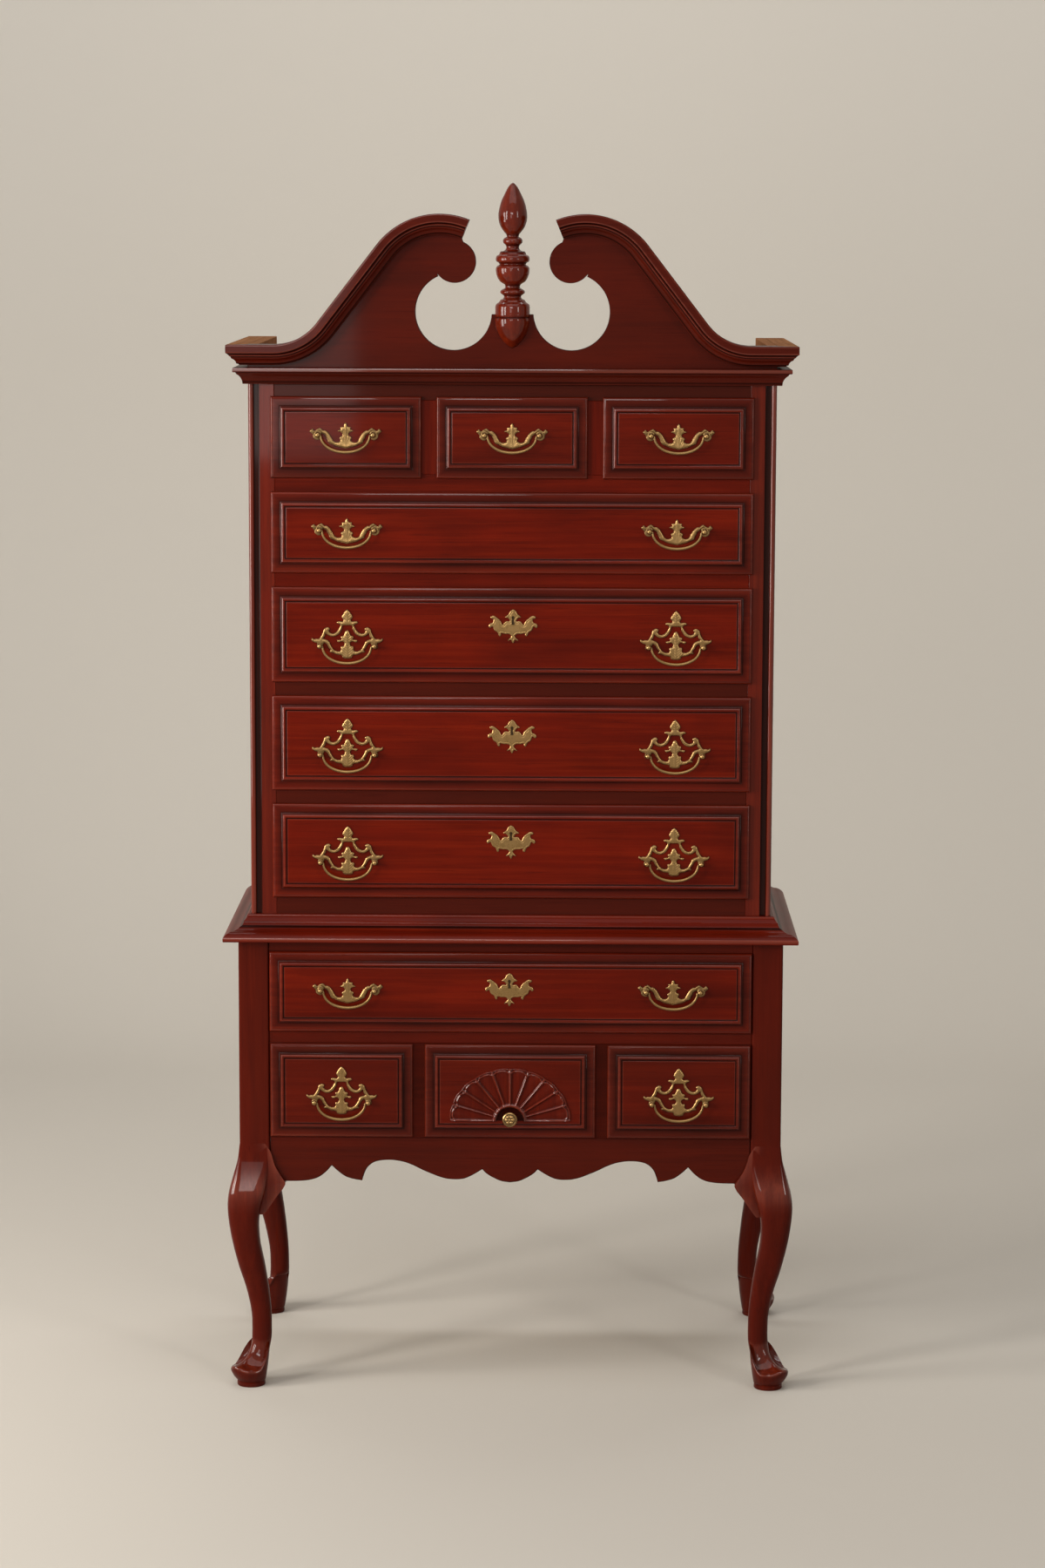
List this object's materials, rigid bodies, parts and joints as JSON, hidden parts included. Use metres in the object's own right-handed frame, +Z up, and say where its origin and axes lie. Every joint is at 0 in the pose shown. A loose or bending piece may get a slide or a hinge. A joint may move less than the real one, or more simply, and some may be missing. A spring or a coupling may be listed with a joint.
{
  "type": "highboy chest of drawers",
  "caption": "Tall chest of lipped drawers on cabriole legs, under a broken scroll pediment with a turned finial and drop-handle brasses.",
  "frame": {"origin": "on the floor under the middle of the whole piece's box", "axes": "+Z up, +X to the right of someone facing the drawers, +Y to the back"},
  "size_m": [0.9426, 0.5258, 1.988],
  "materials": {
    "red_cherry": "deep red-brown stain under glossy lacquer",
    "secondary_wood": "plain unlacquered board, pale brown",
    "antique_brass": "cast brass, aged gold with darker hollows"
  },
  "bodies": {
    "case": {"upper_drawer_frame": "red_cherry", "upper_left_side": "red_cherry", "upper_right_side": "red_cherry", "upper_back": "secondary_wood", "upper_top_board": "secondary_wood", "bed_moulding": "red_cherry", "waist_moulding": "red_cherry", "left_scroll_moulding": "red_cherry", "right_scroll_moulding": "red_cherry", "pediment_board": "red_cherry", "finial": "red_cherry", "front_left_leg": "red_cherry", "front_right_leg": "red_cherry", "rear_left_leg": "red_cherry", "rear_right_leg": "red_cherry", "apron": "red_cherry", "lower_left_side": "red_cherry", "lower_right_side": "red_cherry", "lower_drawer_frame": "red_cherry", "lower_back": "secondary_wood"},
    "row5": {"row5_drawer": "red_cherry", "row5_left_pull_plate": "antique_brass", "row5_right_pull_plate": "antique_brass"},
    "row5_left_bail": {"row5_left_bail": "antique_brass"},
    "row5_right_bail": {"row5_right_bail": "antique_brass"},
    "row4": {"row4_drawer": "red_cherry", "row4_left_pull_plate": "antique_brass", "row4_right_pull_plate": "antique_brass"},
    "row4_left_bail": {"row4_left_bail": "antique_brass"},
    "row4_right_bail": {"row4_right_bail": "antique_brass"},
    "row3": {"row3_drawer": "red_cherry", "row3_left_pull_plate": "antique_brass", "row3_right_pull_plate": "antique_brass"},
    "row3_left_bail": {"row3_left_bail": "antique_brass"},
    "row3_right_bail": {"row3_right_bail": "antique_brass"},
    "row2": {"row2_drawer": "red_cherry", "row2_left_pull_plate": "antique_brass", "row2_right_pull_plate": "antique_brass"},
    "row2_left_bail": {"row2_left_bail": "antique_brass"},
    "row2_right_bail": {"row2_right_bail": "antique_brass"},
    "row1_left": {"row1_left_drawer": "red_cherry", "row1_left_pull_plate": "antique_brass"},
    "row1_left_bail": {"row1_left_bail": "antique_brass"},
    "row1_middle": {"row1_middle_drawer": "red_cherry", "row1_middle_pull_plate": "antique_brass"},
    "row1_middle_bail": {"row1_middle_bail": "antique_brass"},
    "row1_right": {"row1_right_drawer": "red_cherry", "row1_right_pull_plate": "antique_brass"},
    "row1_right_bail": {"row1_right_bail": "antique_brass"},
    "row6": {"row6_drawer": "red_cherry", "row6_left_pull_plate": "antique_brass", "row6_right_pull_plate": "antique_brass"},
    "row6_left_bail": {"row6_left_bail": "antique_brass"},
    "row6_right_bail": {"row6_right_bail": "antique_brass"},
    "row7": {"row7_drawer": "red_cherry", "row7_left_pull_plate": "antique_brass", "row7_right_pull_plate": "antique_brass", "row7_fan_knob": "antique_brass"},
    "row7_left_bail": {"row7_left_bail": "antique_brass"},
    "row7_right_bail": {"row7_right_bail": "antique_brass"}
  },
  "joints": [
    {"name": "row5_slide", "type": "slide", "parent": "case", "child": "row5", "axis": [0, -1, 0], "range_m": [0, 0.3]},
    {"name": "row5_left_bail_hinge", "type": "hinge", "parent": "row5", "child": "row5_left_bail", "pos_m": [-0.267, -0.2316, 0.887], "axis": [-1, 0, 0], "range_deg": [-18, 170]},
    {"name": "row5_right_bail_hinge", "type": "hinge", "parent": "row5", "child": "row5_right_bail", "pos_m": [0.267, -0.2316, 0.887], "axis": [-1, 0, 0], "range_deg": [-18, 170]},
    {"name": "row4_slide", "type": "slide", "parent": "case", "child": "row4", "axis": [0, -1, 0], "range_m": [0, 0.3]},
    {"name": "row4_left_bail_hinge", "type": "hinge", "parent": "row4", "child": "row4_left_bail", "pos_m": [-0.267, -0.2316, 1.065], "axis": [-1, 0, 0], "range_deg": [-18, 170]},
    {"name": "row4_right_bail_hinge", "type": "hinge", "parent": "row4", "child": "row4_right_bail", "pos_m": [0.267, -0.2316, 1.065], "axis": [-1, 0, 0], "range_deg": [-18, 170]},
    {"name": "row3_slide", "type": "slide", "parent": "case", "child": "row3", "axis": [0, -1, 0], "range_m": [0, 0.3]},
    {"name": "row3_left_bail_hinge", "type": "hinge", "parent": "row3", "child": "row3_left_bail", "pos_m": [-0.267, -0.2316, 1.243], "axis": [-1, 0, 0], "range_deg": [-18, 170]},
    {"name": "row3_right_bail_hinge", "type": "hinge", "parent": "row3", "child": "row3_right_bail", "pos_m": [0.267, -0.2316, 1.243], "axis": [-1, 0, 0], "range_deg": [-18, 170]},
    {"name": "row2_slide", "type": "slide", "parent": "case", "child": "row2", "axis": [0, -1, 0], "range_m": [0, 0.3]},
    {"name": "row2_left_bail_hinge", "type": "hinge", "parent": "row2", "child": "row2_left_bail", "pos_m": [-0.267, -0.2316, 1.431], "axis": [-1, 0, 0], "range_deg": [-18, 170]},
    {"name": "row2_right_bail_hinge", "type": "hinge", "parent": "row2", "child": "row2_right_bail", "pos_m": [0.267, -0.2316, 1.431], "axis": [-1, 0, 0], "range_deg": [-18, 170]},
    {"name": "row1_left_slide", "type": "slide", "parent": "case", "child": "row1_left", "axis": [0, -1, 0], "range_m": [0, 0.3]},
    {"name": "row1_left_bail_hinge", "type": "hinge", "parent": "row1_left", "child": "row1_left_bail", "pos_m": [-0.26867, -0.2316, 1.585], "axis": [-1, 0, 0], "range_deg": [-18, 170]},
    {"name": "row1_middle_slide", "type": "slide", "parent": "case", "child": "row1_middle", "axis": [0, -1, 0], "range_m": [0, 0.3]},
    {"name": "row1_middle_bail_hinge", "type": "hinge", "parent": "row1_middle", "child": "row1_middle_bail", "pos_m": [0, -0.2316, 1.585], "axis": [-1, 0, 0], "range_deg": [-18, 170]},
    {"name": "row1_right_slide", "type": "slide", "parent": "case", "child": "row1_right", "axis": [0, -1, 0], "range_m": [0, 0.3]},
    {"name": "row1_right_bail_hinge", "type": "hinge", "parent": "row1_right", "child": "row1_right_bail", "pos_m": [0.26867, -0.2316, 1.585], "axis": [-1, 0, 0], "range_deg": [-18, 170]},
    {"name": "row6_slide", "type": "slide", "parent": "case", "child": "row6", "axis": [0, -1, 0], "range_m": [0, 0.3]},
    {"name": "row6_left_bail_hinge", "type": "hinge", "parent": "row6", "child": "row6_left_bail", "pos_m": [-0.267, -0.2496, 0.677], "axis": [-1, 0, 0], "range_deg": [-18, 170]},
    {"name": "row6_right_bail_hinge", "type": "hinge", "parent": "row6", "child": "row6_right_bail", "pos_m": [0.267, -0.2496, 0.677], "axis": [-1, 0, 0], "range_deg": [-18, 170]},
    {"name": "row7_slide", "type": "slide", "parent": "case", "child": "row7", "axis": [0, -1, 0], "range_m": [0, 0.3]},
    {"name": "row7_left_bail_hinge", "type": "hinge", "parent": "row7", "child": "row7_left_bail", "pos_m": [-0.27775, -0.2496, 0.4895], "axis": [-1, 0, 0], "range_deg": [-18, 170]},
    {"name": "row7_right_bail_hinge", "type": "hinge", "parent": "row7", "child": "row7_right_bail", "pos_m": [0.27775, -0.2496, 0.4895], "axis": [-1, 0, 0], "range_deg": [-18, 170]}
  ]
}
